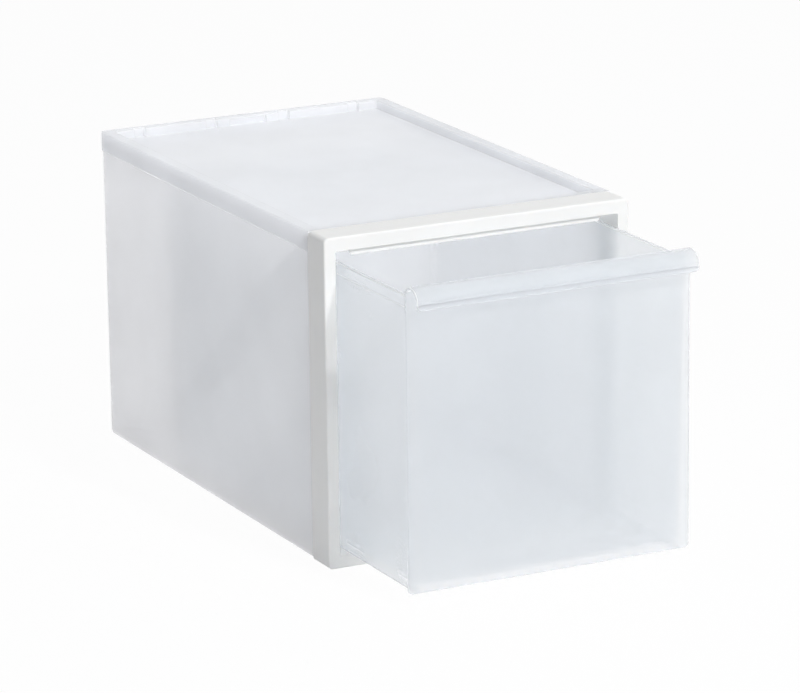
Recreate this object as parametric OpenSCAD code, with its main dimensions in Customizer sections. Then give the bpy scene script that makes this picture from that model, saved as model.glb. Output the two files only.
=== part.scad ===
// Stackable drawer box: a frosted case with a clip-on cover, a white front frame and one sliding drawer.
// Millimetres, +X right, -Y towards the user, +Z up. The origin is on the ground under the middle of the box.

/* [Front frame] */
// Width over the outside of the frame
frame_w = 252; // [230:1:300]
// Height of the frame, which is also the height of the box
frame_h = 250; // [200:1:320]
// Depth of the frame, front to back
frame_d = 27; // [25:0.5:36]
// Width of each side post as seen from the front
post_w = 9.4; // [9:0.1:12]
// Height of the top rail as seen from the front
top_rail_h = 10.8; // [10:0.1:13]
// Height of the bottom rail as seen from the front
bottom_rail_h = 9.5; // [9:0.1:12]
// Thickness of the frame's outer and inner walls
frame_wall = 2.2; // [1.8:0.1:2.4]
// Thickness of the frame's front face
frame_face_t = 2.6; // [2:0.1:3.4]
// Radius of the frame's outline at its four corners
frame_corner_r = 4; // [3:0.5:6]
// Radius of the frame's front edges
frame_edge_r = 1.5; // [0.8:0.1:2]
// Radius in the corners of the opening
mouth_corner_r = 1.2; // [0.8:0.1:3]
// Number of webs that stiffen each side of the frame from behind
web_count = 3; // [1:1:5]
// Thickness of each web
web_t = 1.8; // [1.2:0.1:2.2]

/* [Stop lip under the top rail] */
// Distance from the frame's front face back to the lip
lip_set_back = 3.6; // [3.4:0.1:5]
// Thickness of the lip
lip_t = 2.4; // [1.8:0.1:3]
// How far the lip hangs below the top rail
lip_drop = 4.6; // [4:0.1:5.4]
// Open notch between each end of the lip and the side of the opening
lip_notch = 11.6; // [8:0.1:15]
// Length of the slope at each end of the lip
lip_slope = 3.2; // [1:0.1:5]

/* [Case body] */
// Depth of the box from the frame's front face to the back of the cover
case_d = 404.8; // [395:0.2:480]
// How far the case wall stays inside the frame's side face, at the top
case_inset = 1.4; // [1:0.1:1.6]
// Angle at which the case walls lean out from the floor, in degrees
case_lean = 0.1; // [0:0.05:0.2]
// Thickness of the case walls
case_wall = 2.2; // [1.8:0.1:2.4]
// Thickness of the case floor
case_floor = 2.4; // [2:0.1:2.8]
// Radius of the edges round the case floor
case_foot_r = 4; // [3:0.5:6]
// Radius of the same edges on the inside
case_floor_r = 2.5; // [2.5:0.5:4]
// Thickness of the band and tongue that the other mouldings slip over
lap_t = 2; // [1.6:0.1:2.2]
// Length of the tongue that slides into the back of the frame
tongue_l = 12; // [10:0.5:14]
// Gap left between mouldings that slip or slide over each other
fit_gap = 0.3; // [0.3:0.05:0.4]

/* [Snap catches between case and frame] */
// Length of each catch, front to back
snap_l = 3.4; // [2.4:0.1:4]
// Height of each catch
snap_h = 12; // [6:0.5:20]
// How far each catch stands in from the frame wall
snap_depth = 1.2; // [0.8:0.1:1.4]
// Share of the frame's height at which the lower and upper catches sit
snap_share = 0.3; // [0.1:0.01:0.4]

/* [Runners in the case] */
// Thickness of the runners and guide ribs
runner_t = 2.4; // [1.6:0.1:3]
// Sideways play between the drawer and each guide rib
guide_play = 1.2; // [0.8:0.1:2]
// Height of the guide ribs above the runners
guide_rise = 6.5; // [3:0.5:12]

/* [Top cover] */
// Height of the cover over its skirt
cover_h = 15.5; // [14:0.5:20]
// How far the skirt stands out past the case wall
skirt_lap = 0.8; // [0.6:0.1:0.9]
// Thickness of the skirt
skirt_t = 1.8; // [1.6:0.1:2]
// Thickness of the rest of the cover
cover_t = 2.2; // [1.8:0.1:2.4]
// Width of the raised rim at the two sides
side_rim_w = 9.2; // [8.8:0.1:14]
// Width of the raised rim at the back
back_rim_w = 10.3; // [10:0.1:16]
// Width of the raised rim behind the frame
front_rim_w = 7.6; // [6:0.1:14]
// Depth of the recess that the next box stands over
recess_h = 7; // [5.5:0.1:7.4]
// Radius of the rim's top edges
rim_edge_r = 1.2; // [0.6:0.1:1.5]
// Radius in the corners of the recess
recess_corner_r = 2; // [1:0.5:6]

/* [Joint grooves in the back rim] */
// Distance of the inner pair of grooves from the middle
groove_inner_x = 32; // [28:0.5:50]
// Distance of the outer pair of grooves from the middle
groove_outer_x = 94.5; // [70:0.5:96]
// Width of each groove
groove_w = 9.5; // [6:0.5:12]
// Depth of each groove into the rim
groove_d = 4; // [0.8:0.1:4.2]
// Width of the pocket in the middle of the rim
pocket_w = 32; // [20:1:36]
// Depth of the pocket into the rim
pocket_d = 4; // [2:0.1:4.2]
// Thickness of the rim left over the pocket
pocket_roof = 1.6; // [1:0.1:2]
// Thickness of the skin round the grooves and the pocket
pocket_skin = 1.4; // [1:0.1:1.6]

/* [Drawer] */
// How far the drawer is pulled out
drawer_pull = 108; // [0:1:300]
// How far the drawer slides before its stop fins meet the stop lip
drawer_travel = 300; // [300:1:330]
// Gap between the front panel and each side of the opening
panel_side_gap = 1.3; // [0.8:0.1:2.5]
// Gap between the front panel and the bottom rail
panel_foot_gap = 1; // [0.6:0.1:2.5]
// Gap between the front panel and the top rail
panel_top_gap = 3.5; // [3.3:0.1:3.8]
// Thickness of the front panel
panel_t = 3; // [2.4:0.1:3.2]
// Radius of the front panel's corners
panel_corner_r = 3.4; // [2:0.1:8]
// Radius of the front panel's front edges
panel_edge_r = 0.8; // [0.4:0.1:1.2]
// Gap between the tray's rim and each side of the opening
rim_side_gap = 3.6; // [2.5:0.1:6]
// Gap between the tray's rim and the top rail
rim_top_gap = 9.1; // [8.6:0.1:12]
// Gap between the tray and the back of the case
tray_back_gap = 12.5; // [10:0.1:16]
// Angle at which the tray walls lean out, in degrees
tray_lean = 0.9; // [0.5:0.05:1.2]
// Thickness of the tray walls
tray_wall = 2.2; // [1.8:0.1:2.6]
// Thickness of the tray floor
tray_floor = 2.5; // [2:0.1:3]
// Height of the skids that carry the tray floor
skid_h = 4.9; // [3:0.1:8]
// Radius of the tray's lower outside edges
tray_foot_r = 1; // [1:0.1:1.2]
// Radius of the edges round the tray floor on the inside
tray_floor_r = 3; // [2:0.5:8]
// How far the rim stands out past the tray wall
rim_out = 1.5; // [1:0.1:2.5]
// Height of the rim
rim_h = 9; // [5:0.5:14]

/* [Grip] */
// Distance from each end of the grip to the edge of the front panel
grip_end = 1.3; // [0.6:0.1:40]
// How far the grip reaches out in front of the panel
grip_reach = 15.5; // [14:0.1:17]
// Outer radius of the curl
grip_r = 11.5; // [11:0.1:12.5]
// Thickness of the curled sheet
grip_t = 2.4; // [1.8:0.1:3]
// Length of the straight skirt below the curl
grip_skirt = 4; // [3:0.1:8]
// Radius of the bead along the lower edge of the skirt
grip_bead_r = 2.1; // [1.6:0.1:2.4]
// Radius of the grip's lower corners
grip_corner_r = 3.2; // [2.5:0.1:5]
// Radius of the finger groove along the front of the grip
grip_groove_r = 1.6; // [1:0.1:2]
// Depth of the finger groove
grip_groove_d = 0.6; // [0.2:0.1:0.8]

/* [Stop fins on the tray] */
// Thickness of each fin
fin_t = 3; // [2:0.1:4]
// Length of each fin, from the tray wall inwards
fin_w = 15; // [13:0.5:22]
// Height of each fin above the rim
fin_rise = 7; // [6:0.1:7.5]
// Height of the slope that carries each fin on the tray wall
fin_root = 15; // [8:0.5:24]

/* [Hidden] */
$fn = 64;
cut = 1;
overlap = 0.01;

// Planes from front to back
front_y = -case_d / 2;
frame_back_y = front_y + frame_d;
back_y = case_d / 2;

// The opening in the frame
mouth_half = frame_w / 2 - post_w;
mouth_low = bottom_rail_h;
mouth_high = frame_h - top_rail_h;

// The case
case_half = frame_w / 2 - case_inset;
case_back_y = back_y - skirt_lap;
case_top = frame_h - cover_h - fit_gap;
lap_step = skirt_t + fit_gap - skirt_lap;
lap_in = lap_step + lap_t;
lap_r = case_foot_r - lap_step;
tongue_half = frame_w / 2 - frame_wall - fit_gap;
tongue_low = frame_wall + fit_gap;
tongue_r = frame_corner_r - frame_wall - fit_gap;
snap_y = frame_back_y - tongue_l / 2;
snap_levels = [snap_share * frame_h, (1 - snap_share) * frame_h];

// The cover
skirt_half = case_half + skirt_lap;
skirt_r = lap_r + fit_gap + skirt_t;
recess_z = frame_h - recess_h;
recess_half = skirt_half - side_rim_w;
recess_front_y = frame_back_y + front_rim_w;
recess_back_y = back_y - back_rim_w;
groove_places = [-groove_outer_x, -groove_inner_x, groove_inner_x, groove_outer_x];

// The drawer, measured in Y from the front of its panel
shut_y = front_y + lip_set_back - fit_gap - panel_t;
panel_w = 2 * (mouth_half - panel_side_gap);
panel_low = mouth_low + panel_foot_gap;
panel_top = mouth_high - panel_top_gap;
rim_half = mouth_half - rim_side_gap;
tray_half = rim_half - rim_out;
tray_low = mouth_low + fit_gap;
tray_top = mouth_high - rim_top_gap;
tray_back = case_back_y - tray_back_gap - shut_y;
tray_run = (tray_top - tray_low) * tan(tray_lean);
skid_half = tray_half - tray_run;
grip_y = grip_r - grip_reach;
grip_z = panel_top - sqrt(pow(grip_r, 2) - pow(panel_t - grip_y, 2));
fin_y = drawer_travel + lip_set_back + lip_t + fit_gap + front_y - shut_y;

// ---------------------------------------------------------------- shared forms

// A rectangle with round corners, from its lowest corner
module round_rect(w, h, r) {
    translate([r, 0]) square([w - 2 * r, h]);
    translate([0, r]) square([w, h - 2 * r]);
    for (x = [r, w - r], y = [r, h - r]) translate([x, y]) circle(r);
}

// Section through a slab's edge, from the corner's axis outwards, with its upper edge rounded by e
module edge_section(t, r, e) {
    square([r - e, t]);
    square([r, t - e]);
    intersection() {
        translate([r - e, t - e]) circle(e);
        square([r, t]);
    }
}

// A slab of thickness t, centred, with round corners r and a rounded edge e all round its upper face
module soft_slab(w, h, t, r, e) {
    x = w / 2 - r;
    y = h / 2 - r;
    translate([-x, -y, 0]) cube([2 * x, 2 * y, t]);
    for (s = [0, 1]) {
        mirror([s, 0, 0]) along_y(-y, y) translate([x, 0]) edge_section(t, r, e);
        mirror([0, s, 0]) along_x(-x, x) translate([y, 0]) edge_section(t, r, e);
        for (q = [0, 1]) mirror([s, 0, 0]) mirror([0, q, 0]) translate([x, y, 0])
            rotate_extrude(angle = 90) edge_section(t, r, e);
    }
}

// The same slab standing up, with its rounded face towards the user at y and its foot at low
module soft_panel(y, low, w, h, t, r, e) {
    translate([0, y + t, low + h / 2]) rotate([90, 0, 0]) soft_slab(w, h, t, r, e);
}

// An outline in X and Z carried from y0 to y1
module along_y(y0, y1) {
    translate([0, y1, 0]) rotate([90, 0, 0]) linear_extrude(y1 - y0) children();
}

// An outline in Y and Z carried from x0 to x1
module along_x(x0, x1) {
    translate([x0, 0, 0]) rotate([90, 0, 90]) linear_extrude(x1 - x0) children();
}

// The plan of a box from y0 to y1, open-cornered in front and round at the back
module back_round_plan(half, y0, y1, r) {
    translate([-half, y0]) square([2 * half, y1 - y0 - r]);
    translate([-half + r, y0]) square([2 * (half - r), y1 - y0]);
    for (s = [-1, 1]) translate([s * (half - r), y1 - r]) circle(r);
}

// Section through a drafted wall, from the corner's axis outwards: a round foot, then a lean up to high
module wall_section(low, high, lean, r) {
    round_z = low + r * (1 - sin(lean));
    wall_r = r * cos(lean);
    polygon([[0, low], [wall_r, round_z], [wall_r + (high - round_z) * tan(lean), high], [0, high]]);
    intersection() {
        translate([0, low + r]) circle(r);
        translate([0, low]) square([r, r]);
    }
}

// A drafted tub, as a solid: two sides and a back that lean outwards, with radius r along the foot.
// The upright corners start as balls of that radius and open out with the walls.
// half and y1 are the sizes at the height top, and over carries the walls on above it.
module tub(half, y0, y1, low, top, lean, r, over = 0) {
    inset = r * (1 - sin(lean)) / cos(lean) + (top - low) * tan(lean);
    x = half - inset;
    y = y1 - inset;
    high = top + over;
    along_y(y0, y) {
        translate([-x, low]) square([2 * x, high - low]);
        for (s = [0, 1]) mirror([s, 0]) translate([x, 0]) wall_section(low, high, lean, r);
    }
    along_x(-x, x) translate([y, 0]) wall_section(low, high, lean, r);
    for (s = [0, 1]) mirror([s, 0, 0]) translate([x, y, 0])
        rotate_extrude(angle = 90) wall_section(low, high, lean, r);
}

// ---------------------------------------------------------------- case body

// Band round the top of the case, stepped inwards, which the cover's skirt slips over
module lap_band() {
    start_y = frame_back_y + cover_t + fit_gap;
    low = case_top - lap_t;
    translate([0, 0, low]) linear_extrude(frame_h - cover_t - fit_gap - low) difference() {
        back_round_plan(case_half - lap_step, start_y, case_back_y - lap_step, lap_r);
        back_round_plan(case_half - lap_in, start_y - cut, case_back_y - lap_in, lap_r / 2);
    }
}

// Outline of the way through the tongue and through the ring behind it
module tongue_bore() {
    translate([lap_t - tongue_half, tongue_low + lap_t])
        round_rect(2 * (tongue_half - lap_t), frame_h, tongue_r / 2);
}

// Tongue that slides into the back of the frame
module tongue() {
    along_y(frame_back_y - tongue_l, frame_back_y + overlap) intersection() {
        translate([-tongue_half, tongue_low]) round_rect(2 * tongue_half, frame_h, tongue_r);
        translate([-frame_w, 0]) square([2 * frame_w, case_top]);
    }
}

// Windows in the tongue for the frame's catches
module snap_windows() {
    for (z = snap_levels) translate([-frame_w, snap_y - snap_l / 2 - fit_gap, z - snap_h / 2 - fit_gap])
        cube([2 * frame_w, snap_l + 2 * fit_gap, snap_h + 2 * fit_gap]);
}

// A rib along the case floor, standing up to z
module floor_rib(x, z) {
    translate([x, frame_back_y, case_floor - overlap])
        cube([runner_t, case_back_y - case_wall - frame_back_y, z - case_floor + overlap]);
}

module case_body() {
    color([0.86, 0.88, 0.90, 0.6]) {
        difference() {
            union() {
                tub(case_half, frame_back_y, case_back_y, 0, case_top, case_lean, case_foot_r);
                tongue();
            }
            tub(case_half - case_wall, frame_back_y + lap_t, case_back_y - case_wall, case_floor, case_top,
                case_lean, case_floor_r, cut);
            along_y(frame_back_y - tongue_l - cut, frame_back_y + lap_t + cut) tongue_bore();
            snap_windows();
        }
        lap_band();
        for (s = [0, 1]) mirror([s, 0, 0]) {
            floor_rib(skid_half - tray_wall / 2 - runner_t / 2, mouth_low);
            floor_rib(skid_half + guide_play, mouth_low + guide_rise);
        }
    }
}

// ---------------------------------------------------------------- top cover

// The recess in plan, grown by grow on every side
module recess_plan(grow) {
    translate([-recess_half - grow, recess_front_y - grow])
        round_rect(2 * (recess_half + grow), recess_back_y - recess_front_y + 2 * grow, recess_corner_r + grow);
}

// What the cover leaves free inside: the room under the recess and the room in the hollow rim
module cover_hollow() {
    inner_r = skirt_r - skirt_t;
    linear_extrude(recess_z - cover_t)
        back_round_plan(skirt_half - skirt_t, frame_back_y - cut, back_y - skirt_t, inner_r);
    difference() {
        linear_extrude(frame_h - cover_t)
            back_round_plan(skirt_half - skirt_t, frame_back_y + cover_t, back_y - skirt_t, inner_r);
        linear_extrude(frame_h) recess_plan(cover_t);
    }
}

// Skin behind a groove or the pocket, in the hollow of the back rim
module pocket_block(x, w, depth) {
    translate([x - w / 2 - pocket_skin, recess_back_y, recess_z - cover_t])
        cube([w + 2 * pocket_skin, depth + pocket_skin, recess_h + cover_t - overlap]);
}

module top_cover() {
    color([0.91, 0.92, 0.94, 0.6]) difference() {
        union() {
            difference() {
                translate([0, 0, frame_h - cover_h])
                    soft_slab(2 * skirt_half, case_d, cover_h, skirt_r, rim_edge_r);
                translate([-frame_w, front_y - cut, 0]) cube([2 * frame_w, frame_d + cut, 2 * frame_h]);
                cover_hollow();
                translate([0, 0, recess_z]) linear_extrude(frame_h) recess_plan(0);
            }
            for (x = groove_places) pocket_block(x, groove_w, groove_d);
            pocket_block(0, pocket_w, pocket_d);
            translate([-mouth_half, frame_back_y - tongue_l, mouth_high + frame_wall + fit_gap])
                cube([2 * mouth_half, tongue_l + cover_t, cover_t]);
        }
        for (x = groove_places) translate([x - groove_w / 2, recess_back_y - cut, recess_z])
            cube([groove_w, groove_d + cut, frame_h]);
        translate([-pocket_w / 2, recess_back_y - cut, recess_z])
            cube([pocket_w, pocket_d + cut, recess_h - pocket_roof]);
    }
}

// ---------------------------------------------------------------- front frame

// The opening, grown by grow on every side
module mouth_outline(grow) {
    translate([-mouth_half - grow, mouth_low - grow])
        round_rect(2 * (mouth_half + grow), mouth_high - mouth_low + 2 * grow, mouth_corner_r + grow);
}

// Channel round the back of the frame, which takes the tongues of the case and the cover
module frame_channel() {
    along_y(front_y + frame_face_t, frame_back_y + cut) difference() {
        translate([frame_wall - frame_w / 2, frame_wall])
            round_rect(frame_w - 2 * frame_wall, frame_h - 2 * frame_wall, frame_corner_r - frame_wall);
        mouth_outline(frame_wall);
    }
}

// Webs across the channel in front of the tongues, which keep its two walls apart
module frame_webs() {
    depth = frame_d - tongue_l - frame_face_t - fit_gap + overlap;
    for (i = [1 : web_count]) translate([0, front_y + frame_face_t - overlap, 0]) {
        for (s = [0, 1]) mirror([s, 0, 0])
            translate([mouth_half + frame_wall - overlap, 0, frame_h * i / (web_count + 1)])
                cube([post_w - 2 * frame_wall + 2 * overlap, depth, web_t]);
        translate([frame_w * i / (web_count + 1) - frame_w / 2 - web_t / 2, 0, 0]) {
            translate([0, 0, frame_wall - overlap])
                cube([web_t, depth, bottom_rail_h - 2 * frame_wall + 2 * overlap]);
            translate([0, 0, mouth_high + frame_wall - overlap])
                cube([web_t, depth, top_rail_h - 2 * frame_wall + 2 * overlap]);
        }
    }
}

// Wedges inside the posts that click into the windows of the case's tongue
module snap_wedges() {
    for (s = [0, 1], z = snap_levels) mirror([s, 0, 0])
        translate([frame_w / 2 - frame_wall + overlap, snap_y - snap_l / 2, z - snap_h / 2])
            linear_extrude(snap_h) polygon([[0, 0], [-snap_depth - overlap, 0], [0, snap_l]]);
}

// Lip under the top rail, which stops the drawer both ways, with an open notch at each end
module stop_lip() {
    lip_half = mouth_half - lip_notch;
    along_y(front_y + lip_set_back, front_y + lip_set_back + lip_t)
        polygon([[-lip_half, mouth_high + overlap], [lip_half, mouth_high + overlap],
                 [lip_half - lip_slope, mouth_high - lip_drop], [lip_slope - lip_half, mouth_high - lip_drop]]);
}

module front_frame() {
    color([0.96, 0.96, 0.97]) {
        difference() {
            soft_panel(front_y, 0, frame_w, frame_h, frame_d, frame_corner_r, frame_edge_r);
            along_y(front_y - cut, frame_back_y + cut) mouth_outline(0);
            frame_channel();
        }
        frame_webs();
        snap_wedges();
        stop_lip();
    }
}

// ---------------------------------------------------------------- drawer

// Section of the grip: a sheet that rises from the back of the panel, curls forward and ends in a bead
module grip_section() {
    front = grip_y - grip_r;
    bead_z = grip_z - grip_skirt + grip_bead_r;
    difference() {
        union() {
            intersection() {
                translate([grip_y, grip_z]) circle(grip_r);
                translate([front, grip_z]) square([panel_t - front, grip_r]);
            }
            translate([front, bead_z]) square([grip_t, grip_z - bead_z + overlap]);
            translate([front + grip_bead_r, bead_z]) circle(grip_bead_r);
        }
        intersection() {
            translate([grip_y, grip_z]) circle(grip_r - grip_t);
            translate([front, grip_z - cut]) square([grip_reach, grip_r + cut]);
            translate([front + grip_t, grip_z - cut]) square([grip_reach, grip_r + cut]);
        }
        translate([front + grip_groove_d - grip_groove_r, grip_z + grip_groove_r]) circle(grip_groove_r);
    }
}

// Grip: its section drawn out along X, with round lower corners
module grip() {
    half = panel_w / 2 - grip_end;
    low = grip_z - grip_skirt;
    intersection() {
        along_x(-half, half) grip_section();
        along_y(-grip_reach - cut, panel_t + cut) translate([-half, low])
            round_rect(2 * half, panel_w, grip_corner_r);
    }
}

// Tray: drafted sides and back with a thick rim, and a floor carried above the skids
module tray() {
    rim_r = tray_foot_r + tray_run + rim_out;
    difference() {
        union() {
            tub(tray_half, panel_t - overlap, tray_back, tray_low, tray_top, tray_lean, tray_foot_r);
            translate([0, 0, tray_top - rim_h]) linear_extrude(rim_h)
                back_round_plan(rim_half, panel_t - overlap, tray_back + rim_out, rim_r);
        }
        tub(tray_half - tray_wall, panel_t - cut, tray_back - tray_wall, tray_low + skid_h + tray_floor,
            tray_top, tray_lean, tray_floor_r, cut);
        translate([tray_wall - skid_half, panel_t - cut, tray_low - cut])
            cube([2 * (skid_half - tray_wall), tray_back - tray_run - tray_wall - panel_t + cut, skid_h + cut]);
    }
}

// Fins inside the tray walls that stand up behind the stop lip and end the drawer's travel
module stop_fins() {
    for (s = [0, 1]) mirror([s, 0, 0]) translate([tray_half - tray_wall / 2, 0, tray_top])
        along_y(fin_y, fin_y + fin_t)
            polygon([[0, -fin_root], [0, fin_rise], [-fin_w, fin_rise], [-fin_w, 0]]);
}

module drawer() {
    color([0.88, 0.91, 0.94, 0.6]) translate([0, shut_y - drawer_pull, 0]) {
        tray();
        soft_panel(0, panel_low, panel_w, panel_top - panel_low, panel_t, panel_corner_r, panel_edge_r);
        grip();
        stop_fins();
    }
}

case_body();
top_cover();
front_frame();
drawer();
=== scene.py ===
# %% [markdown]
# # A stackable drawer box in frosted and white plastic
#
# The box is made of four injection mouldings: a frosted case, a frosted cover that clips over its top, an
# opaque white front frame, and a frosted drawer with a curled grip. The CAD model already has their real
# shapes and wall thicknesses, so this lesson is about what plastic does with light: milky walls that show
# soft shadows of what is behind them, thin bright edges, and a satin skin.

# %% Load the CAD model
import bpy
import math
from mathutils import Matrix, Vector


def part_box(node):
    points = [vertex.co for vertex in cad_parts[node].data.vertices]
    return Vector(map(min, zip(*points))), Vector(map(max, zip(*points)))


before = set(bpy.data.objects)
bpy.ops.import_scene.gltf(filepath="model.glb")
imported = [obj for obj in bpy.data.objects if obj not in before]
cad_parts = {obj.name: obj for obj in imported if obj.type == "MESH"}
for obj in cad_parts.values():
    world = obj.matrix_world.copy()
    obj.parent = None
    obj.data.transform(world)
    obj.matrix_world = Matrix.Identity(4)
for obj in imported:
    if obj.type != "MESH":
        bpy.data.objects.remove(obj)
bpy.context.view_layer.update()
for name in sorted(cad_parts):
    low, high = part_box(name)
    print(name, "size in mm:", [round((high[i] - low[i]) * 1000, 1) for i in range(3)])

# %% [markdown]
# ## Colours and nodes
#
# A colour picked from a chart is an sRGB hex value, but shaders work in linear light, so one function turns
# the first into the second. A second small function adds a shader node, fills in its settings and inputs,
# and links what it is given. With it, a material reads as a list of what it is made of.

# %% Helpers for colours and nodes
MM = 0.001
WHITE = [1.0, 1.0, 1.0, 1.0]


def linear(hex_colour):
    """An sRGB hex colour such as 'f2f4f6' as linear RGBA."""
    channels = [int(hex_colour[i:i + 2], 16) / 255 for i in (0, 2, 4)]
    return [c / 12.92 if c <= 0.04045 else ((c + 0.055) / 1.055) ** 2.4 for c in channels] + [1.0]


def add(tree, kind, inputs=None, **settings):
    """Adds a node of this kind. An input is a value, or an output socket of another node to link from."""
    node = tree.nodes.new("ShaderNode" + kind)
    for key, value in settings.items():
        setattr(node, key, value)
    for key, value in (inputs or {}).items():
        if isinstance(value, bpy.types.NodeSocket):
            tree.links.new(value, node.inputs[key])
        else:
            node.inputs[key].default_value = value
    return node


def new_material(name):
    """An empty node material and its tree."""
    material = bpy.data.materials.new(name)
    material.use_nodes = True
    material.node_tree.nodes.clear()
    return material, material.node_tree


print("white plastic in linear light:", [round(c, 3) for c in linear("f4f6f9")])

# %% [markdown]
# ## The skin of a moulding
#
# A moulded sheet is never even. A slow cloud, about 60 mm across, stands for changes in how the plastic
# froze, and a fine grain for the etched mould. The real grain is about 0.05 mm, too fine for this
# distance, so it is drawn at about 0.6 mm, where it only just breaks up the reflections.
#
# Both plastics of this box share that, so one function makes it. The cloud drives the colour and the
# roughness, by a few percent each, and the grain drives a bump.

# %% Clouds and grain
CLOUD_MM = 60
GRAIN_MM = 0.6
GRAIN_DEPTH_MM = 0.1
# Where the cloud's noise, which stays mostly between 0.3 and 0.7, counts as thin and as thick
CLOUD_THIN, CLOUD_THICK = 0.35, 0.65
CLOUD_LOW, CLOUD_HIGH = 0.3, 0.7


def moulded_skin(tree, body_hex, thin_shade, roughness, spread, grain_strength):
    """Colour, roughness and normal of a moulded surface. thin_shade is the colour's share where the cloud is
    thin, and the roughness drifts by spread to either side."""
    place = add(tree, "TexCoord").outputs["Object"]
    cloud = add(tree, "TexNoise", {"Vector": place, "Scale": 1 / (CLOUD_MM * MM), "Detail": 2.0})
    grain = add(tree, "TexNoise", {"Vector": place, "Scale": 1 / (GRAIN_MM * MM), "Detail": 1.0})
    body = add(tree, "ValToRGB", {"Fac": cloud.outputs["Fac"]})
    thin, thick = body.color_ramp.elements
    thin.position, thick.position = CLOUD_THIN, CLOUD_THICK
    thick.color = linear(body_hex)
    thin.color = [c * thin_shade for c in thick.color[:3]] + [1.0]
    gloss = add(tree, "MapRange", {
        "Value": cloud.outputs["Fac"], "From Min": CLOUD_LOW, "From Max": CLOUD_HIGH,
        "To Min": roughness - spread, "To Max": roughness + spread})
    bump = add(tree, "Bump", {"Height": grain.outputs["Fac"], "Strength": grain_strength,
                              "Distance": GRAIN_DEPTH_MM * MM})
    return body.outputs["Color"], gloss.outputs["Result"], bump.outputs["Normal"]


print("grain drawn at", GRAIN_MM, "mm, cloud at", CLOUD_MM, "mm")

# %% [markdown]
# ## The frosted polypropylene
#
# Natural polypropylene is a milky, waxy plastic: its crystals scatter light inside the wall. The mould is
# etched too, so both skins are satin. Together they let a wall glow when light is behind it and show near
# things as soft shapes, while far things melt away.
#
# It could be a plain half-transparent shader, but that shows what is behind it sharply, like a clean film.
# A volume would be truest and far too slow for walls inside walls. Here each skin is a mix of three things:
#
# - a **straight** share, which lets the view through unchanged. The clearer the moulding, the larger it is:
#   the drawer's walls show the case's edge behind them, the case hardly shows anything;
# - a **blurred** share of rough glass with the plastic's own index of 1.49, for soft shapes and the sheen;
# - **milk** for the rest: a diffuse skin with the body colour, and a translucent part, the haze, that passes
#   light on without showing anything.
#
# Lamps are treated apart. Their light would need rough glass to find them by chance, which is noisy, so a
# shadow ray goes straight through each skin and keeps the `lamp_through` share. One wall is two skins: at
# 0.60 it keeps over a third of the light, so the open drawer throws a grey shadow, not a black one.
#
# The cut edges of a sheet gather the light that travels inside the wall, so they look whiter than its face.
# That light is painted: the rounds get a nearly white copy of the plastic, a painted highlight, with less
# haze and less blur.

# %% Frosted polypropylene
POLYPROPYLENE_IOR = 1.49
FROSTED_ROUGHNESS = 0.23


def frosted_polypropylene(name, body_hex, straight, blurred, haze, lamp_through):
    """Each skin sends a straight share of the view on unchanged and a blurred share through rough glass. The
    rest is milk, of which the haze share passes light on. lamp_through is what a lamp keeps at each skin."""
    material, tree = new_material(name)
    body, gloss, grain = moulded_skin(tree, body_hex, thin_shade=0.975, roughness=FROSTED_ROUGHNESS,
                                      spread=0.02, grain_strength=0.06)
    skin = add(tree, "BsdfPrincipled", {
        "Base Color": body, "Roughness": gloss, "IOR": POLYPROPYLENE_IOR, "Normal": grain})
    glass = add(tree, "BsdfPrincipled", {
        "Base Color": WHITE, "Roughness": gloss, "IOR": POLYPROPYLENE_IOR,
        "Transmission Weight": 1.0, "Normal": grain})
    glow = add(tree, "BsdfTranslucent", {"Color": body, "Normal": grain})
    milk = add(tree, "MixShader", {0: haze, 1: skin.outputs[0], 2: glow.outputs[0]})
    frosted = add(tree, "MixShader", {0: blurred / (1 - straight), 1: milk.outputs[0], 2: glass.outputs[0]})
    path = add(tree, "LightPath")
    open_share = add(tree, "MapRange", {"Value": path.outputs["Is Shadow Ray"], "To Min": straight,
                                        "To Max": lamp_through})
    through = add(tree, "BsdfTransparent", {"Color": WHITE})
    lit = add(tree, "MixShader", {0: open_share.outputs[0], 1: frosted.outputs[0], 2: through.outputs[0]})
    add(tree, "OutputMaterial", {"Surface": lit.outputs[0]})
    return material


case_plastic = frosted_polypropylene(
    "frosted_polypropylene_case", "f7f7f8", straight=0.15, blurred=0.20, haze=0.62, lamp_through=0.86)
cover_plastic = frosted_polypropylene(
    "frosted_polypropylene_cover", "f7f8fa", straight=0.14, blurred=0.20, haze=0.50, lamp_through=0.77)
drawer_plastic = frosted_polypropylene(
    "frosted_polypropylene_drawer", "f3f7fb", straight=0.45, blurred=0.27, haze=0.62, lamp_through=0.60)
# The nearly white colour of the edge rounds is a painted highlight for the light piped along the wall.
painted_highlight_edge_plastic = frosted_polypropylene(
    "polypropylene_edge_painted_highlight", "fefeff", straight=0.35, blurred=0.10, haze=0.20, lamp_through=0.75)
for plastic in (case_plastic, cover_plastic, drawer_plastic, painted_highlight_edge_plastic):
    print("made", plastic.name)

# %% [markdown]
# ## The white frame
#
# The frame is ABS or a filled polypropylene: opaque, bright white, with a satin skin from a finely blasted
# mould. Opaque white plastic still lets light sink in by about a millimetre, which softens its edges, so a
# little subsurface scattering goes under the skin. A plain diffuse white would look like chalk.
#
# Its clouds are fainter in colour than those of the frosted plastic, and its grain is shallower.

# %% White ABS
ABS_IOR = 1.54
SINK_MM = 1.2


def satin_abs(name, body_hex, roughness):
    """Opaque white plastic, with light that sinks in by about a millimetre."""
    material, tree = new_material(name)
    body, gloss, grain = moulded_skin(tree, body_hex, thin_shade=0.985, roughness=roughness,
                                      spread=0.03, grain_strength=0.05)
    skin = add(tree, "BsdfPrincipled", {
        "Base Color": body, "Roughness": gloss, "IOR": ABS_IOR, "Subsurface Weight": 0.15,
        "Subsurface Radius": [1.0, 0.9, 0.8], "Subsurface Scale": SINK_MM * MM, "Normal": grain})
    add(tree, "OutputMaterial", {"Surface": skin.outputs[0]})
    return material


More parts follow.
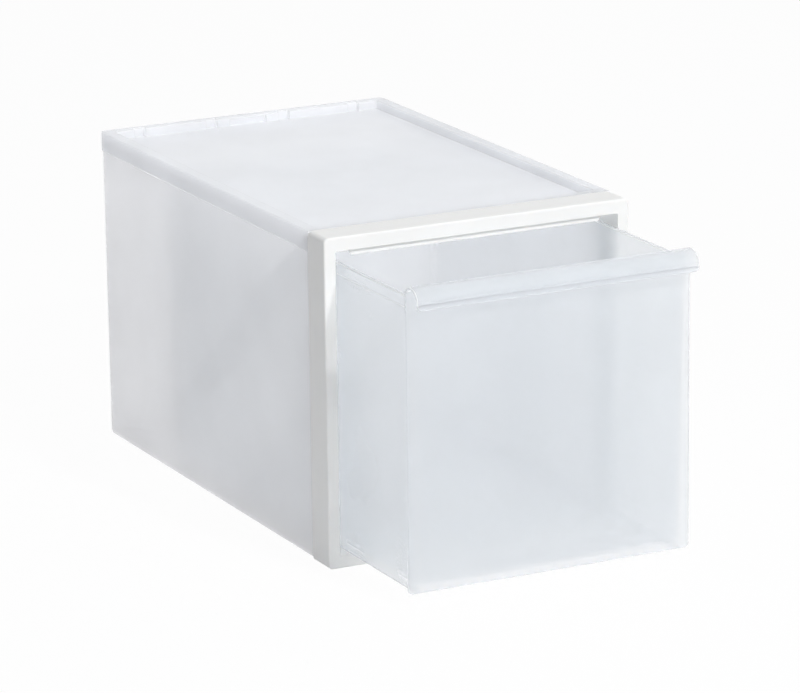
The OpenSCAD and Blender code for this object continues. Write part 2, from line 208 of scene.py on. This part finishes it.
frame_plastic = satin_abs("satin_white_abs_frame", "f7f7f5", roughness=0.42)
print("made", frame_plastic.name)

# %% [markdown]
# ## Dressing the mouldings
#
# Each moulding keeps its CAD mesh and only gets its plastic. The CAD edges are perfectly sharp, and a real
# mould leaves about half a millimetre of radius. That thin round catches the light as a bright line, which
# is most of what makes plastic look moulded. On the frosted mouldings the line is also a painted highlight,
# from the whiter edge plastic. Three modifiers make it without changing the mesh underneath:
#
# 1. **Weld** joins the points that the file format keeps apart along hard edges. Without it the next
#    modifier finds only open borders and rounds nothing.
# 2. **Bevel** rounds each edge sharper than 60 degrees and gives the round the edge plastic, whose whiter
#    colour on the frosted mouldings is a painted highlight. Clamping is off, because the shortest edge of a
#    moulding would otherwise shrink every round to nothing.
# 3. **Weighted Normal** lets the large flat faces decide the shading, so that the rounds don't bend it.

# %% Give each moulding its plastic and its edges
WELD_MM = 0.01
ROUNDED_FROM = math.radians(60)
# Each moulding's plastic, its edge plastic (a whiter painted highlight, except on the frame) and the size of
# its edge rounds in mm
PLASTICS = {
    "case_body": (case_plastic, painted_highlight_edge_plastic, 0.45),
    "top_cover": (cover_plastic, painted_highlight_edge_plastic, 0.5),
    "front_frame": (frame_plastic, frame_plastic, 0.45),
    "drawer": (drawer_plastic, painted_highlight_edge_plastic, 0.6),
}


def dress(node_name, material, edge_material, edge_mm):
    """Gives a moulding its plastic, and rounds its edges to edge_mm in edge_material, a whiter painted
    highlight on the frosted mouldings.
    """
    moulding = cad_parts[node_name]
    moulding.data.materials.clear()
    moulding.data.materials.append(material)
    moulding.data.materials.append(edge_material)
    skin = moulding.modifiers.new("closed_skin", "WELD")
    skin.merge_threshold = WELD_MM * MM
    edge = moulding.modifiers.new("moulded_edge", "BEVEL")
    edge.width = edge_mm * MM
    edge.segments = 2
    edge.limit_method = "ANGLE"
    edge.angle_limit = ROUNDED_FROM
    edge.use_clamp_overlap = False
    edge.loop_slide = False
    edge.material = 1
    shading = moulding.modifiers.new("even_shading", "WEIGHTED_NORMAL")
    shading.keep_sharp = True
    return moulding


for node_name, (plastic, edge, edge_mm) in PLASTICS.items():
    dressed = dress(node_name, plastic, edge, edge_mm)
    print(node_name, "wears", plastic.name, "on", len(dressed.data.polygons), "faces, edges", edge_mm, "mm")

# %% [markdown]
# ## The studio
#
# The box stands on a pale floor in a white room. The background is white because the room's colour is
# white wherever the camera, or a reflection, looks straight at it, and not because lamps burn it out. The
# floor does the same for 96% of its colour, so it stays nearly white and still keeps a faint shadow under
# the box. Its paint is mottled in patches a third of a metre across.

# %% Floor and room
FLOOR_SIZE = 60.0
FLOOR_PATCH = 1 / 3
ROOM_LIGHT = 0.315
FLOOR_WHITE = 0.96


def seen_directly(tree):
    """1 where the camera, a reflection or the view through glass meets the surface, and 0 for light."""
    path = add(tree, "LightPath")
    first = add(tree, "Math", {0: path.outputs["Is Camera Ray"], 1: path.outputs["Is Glossy Ray"]},
                operation="MAXIMUM")
    return add(tree, "Math", {0: first.outputs[0], 1: path.outputs["Is Transmission Ray"]},
               operation="MAXIMUM").outputs[0]


def white_room():
    world = bpy.data.worlds.new("white_room")
    bpy.context.scene.world = world
    world.use_nodes = True
    tree = world.node_tree
    tree.nodes.clear()
    light = add(tree, "Background", {"Color": linear("f8fafe"), "Strength": ROOM_LIGHT})
    backdrop = add(tree, "Background", {"Color": WHITE, "Strength": 1.0})
    both = add(tree, "MixShader", {0: seen_directly(tree), 1: light.outputs[0], 2: backdrop.outputs[0]})
    add(tree, "OutputWorld", {"Surface": both.outputs[0]})


def pale_floor():
    half = FLOOR_SIZE / 2
    mesh = bpy.data.meshes.new("floor")
    corners = [(-half, -half, 0), (half, -half, 0), (half, half, 0), (-half, half, 0)]
    mesh.from_pydata(corners, [], [(0, 1, 2, 3)])
    floor = bpy.data.objects.new("floor", mesh)
    bpy.context.scene.collection.objects.link(floor)
    material, tree = new_material("painted_studio_floor")
    place = add(tree, "TexCoord").outputs["Object"]
    mottle = add(tree, "TexNoise", {"Vector": place, "Scale": 1 / FLOOR_PATCH, "Detail": 2.0})
    paint = add(tree, "ValToRGB", {"Fac": mottle.outputs["Fac"]})
    paint.color_ramp.elements[0].color = linear("f2f2f3")
    paint.color_ramp.elements[1].color = linear("f6f6f7")
    matt = add(tree, "BsdfDiffuse", {"Color": paint.outputs["Color"]})
    white = add(tree, "Emission", {"Color": WHITE, "Strength": 1.0})
    share = add(tree, "Math", {0: seen_directly(tree), 1: FLOOR_WHITE}, operation="MULTIPLY")
    both = add(tree, "MixShader", {0: share.outputs[0], 1: matt.outputs[0], 2: white.outputs[0]})
    add(tree, "OutputMaterial", {"Surface": both.outputs[0]})
    floor.data.materials.append(material)
    return floor


white_room()
print("floor at z =", pale_floor().location.z)

# %% [markdown]
# ## The lamps
#
# Four square lamps, each with one task:
#
# - the **key** stands in front, high and a little to the right. It is small, so the open drawer throws a
#   clear shadow on the frame's left post, and low enough to reach under the frame's top rail;
# - the **top lamp** is large and straight above. It lifts the recessed top and the grip without a shadow;
# - the **right fill** is large and low, and lights the drawer and the case from the right through the walls;
# - the **left fill** is weak and near, and keeps the foot of the left side from turning grey.

# %% Lamps
def direction(azimuth, elevation):
    """Unit vector towards this azimuth, 0 in front and 90 to the right, and this elevation, in degrees."""
    a, e = math.radians(azimuth), math.radians(elevation)
    return Vector((math.sin(a) * math.cos(e), -math.cos(a) * math.cos(e), math.sin(e)))


def soft_lamp(name, aim, azimuth, elevation, distance, size, watts):
    """A square white lamp that looks at aim from this direction and distance."""
    away = direction(azimuth, elevation)
    data = bpy.data.lights.new(name, "AREA")
    data.shape = "SQUARE"
    data.size = size
    data.energy = watts
    lamp = bpy.data.objects.new(name, data)
    lamp.location = Vector(aim) + away * distance
    lamp.rotation_mode = "QUATERNION"
    lamp.rotation_quaternion = (-away).to_track_quat("-Z", "Y")
    bpy.context.scene.collection.objects.link(lamp)
    return lamp


key = soft_lamp("key_lamp", aim=(0, -0.1, 0.15), azimuth=9, elevation=37,
                distance=2.6, size=0.15, watts=36)
top_lamp = soft_lamp("top_lamp", aim=(0, 0, 0.2), azimuth=0, elevation=88,
                     distance=2.6, size=1.6, watts=12.5)
right_fill = soft_lamp("right_fill", aim=(0, -0.1, 0.12), azimuth=105, elevation=12,
                       distance=2.6, size=1.4, watts=5)
left_fill = soft_lamp("left_fill", aim=(-0.12, -0.2, 0.06), azimuth=-60, elevation=4,
                      distance=0.8, size=0.4, watts=0.28)
for lamp in (key, top_lamp, right_fill, left_fill):
    print(lamp.name, "at", [round(c, 2) for c in lamp.location], "with", round(lamp.data.energy, 2), "W")

# %% [markdown]
# ## The camera
#
# A long lens from a few metres away keeps the box's edges nearly parallel, as product pictures do. The
# camera stands to the left of the front and looks slightly down, so that the front, the left side, the
# recessed top and the open drawer all show.
#
# A view into this box can cross a dozen skins: two for each wall of the drawer, two for the case, and the
# rounds between them. Light paths that stop too early leave black specks in such stacks, so the numbers of
# bounces are raised here.

# %% Camera and light paths
LENS_MM = 205.8
SENSOR_MM = 36.0
AIM = Vector((-1.351, -75.566, 122.521)) * MM
AZIMUTH, ELEVATION, ROLL = -26.878, 15.466, -0.699
DISTANCE = 3.47655


def product_camera():
    away = direction(AZIMUTH, ELEVATION)
    data = bpy.data.cameras.new("camera")
    data.lens = LENS_MM
    data.sensor_width = SENSOR_MM
    data.clip_start, data.clip_end = 0.1, 100
    camera = bpy.data.objects.new("camera", data)
    level = (-away).to_track_quat("-Z", "Y").to_matrix().to_4x4()
    rolled = level @ Matrix.Rotation(math.radians(ROLL), 4, "Z")
    camera.matrix_world = Matrix.Translation(AIM + away * DISTANCE) @ rolled
    bpy.context.scene.collection.objects.link(camera)
    bpy.context.scene.camera = camera
    return camera


print("camera at", [round(c, 3) for c in product_camera().matrix_world.translation])
bpy.context.scene.view_settings.view_transform = "Standard"
light_paths = bpy.context.scene.cycles
light_paths.max_bounces = light_paths.transmission_bounces = 24
light_paths.transparent_max_bounces = 32
light_paths.diffuse_bounces = 8
